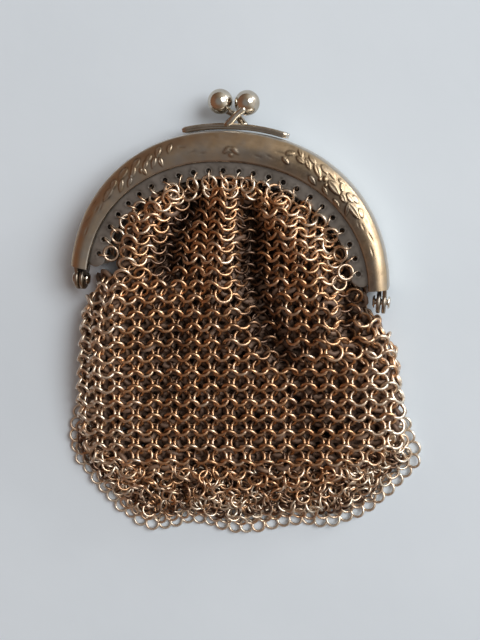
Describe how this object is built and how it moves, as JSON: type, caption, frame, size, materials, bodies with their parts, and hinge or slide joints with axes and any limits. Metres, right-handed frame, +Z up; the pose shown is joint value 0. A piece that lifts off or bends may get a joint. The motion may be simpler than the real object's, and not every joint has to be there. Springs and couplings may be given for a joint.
{
  "type": "ring-mail coin purse with kiss-lock frame",
  "caption": "Small flat-lying coin purse: ring-mail bag with a ring fringe on an arched two-part metal frame with a crossed-ball kiss-lock clasp.",
  "frame": {"origin": "middle of the footprint on the table, under the middle of the overall box", "axes": "+Y from the fringe to the clasp, +X along the hinge axis to the right, +Z up from the table through the decorated front"},
  "size_m": [0.0702, 0.087, 0.0095],
  "materials": {
    "frame_silver": "tarnished warm silver, polished on the high spots",
    "strip_silver": "dull grey tarnished silver",
    "clasp_silver": "bright champagne silver",
    "bronze_mail": "brown tarnished ring mail with copper glints",
    "bright_mail": "pale silver ring mail"
  },
  "bodies": {
    "root": {"front_bow": "frame_silver", "back_bow": "frame_silver", "front_strip": "strip_silver", "back_strip": "strip_silver", "front_clasp": "clasp_silver", "back_clasp": "clasp_silver", "right_hinge_rivet": "clasp_silver", "left_hinge_rivet": "clasp_silver", "mail_bag": "bronze_mail", "ring_fringe": "bright_mail"}
  },
  "joints": []
}
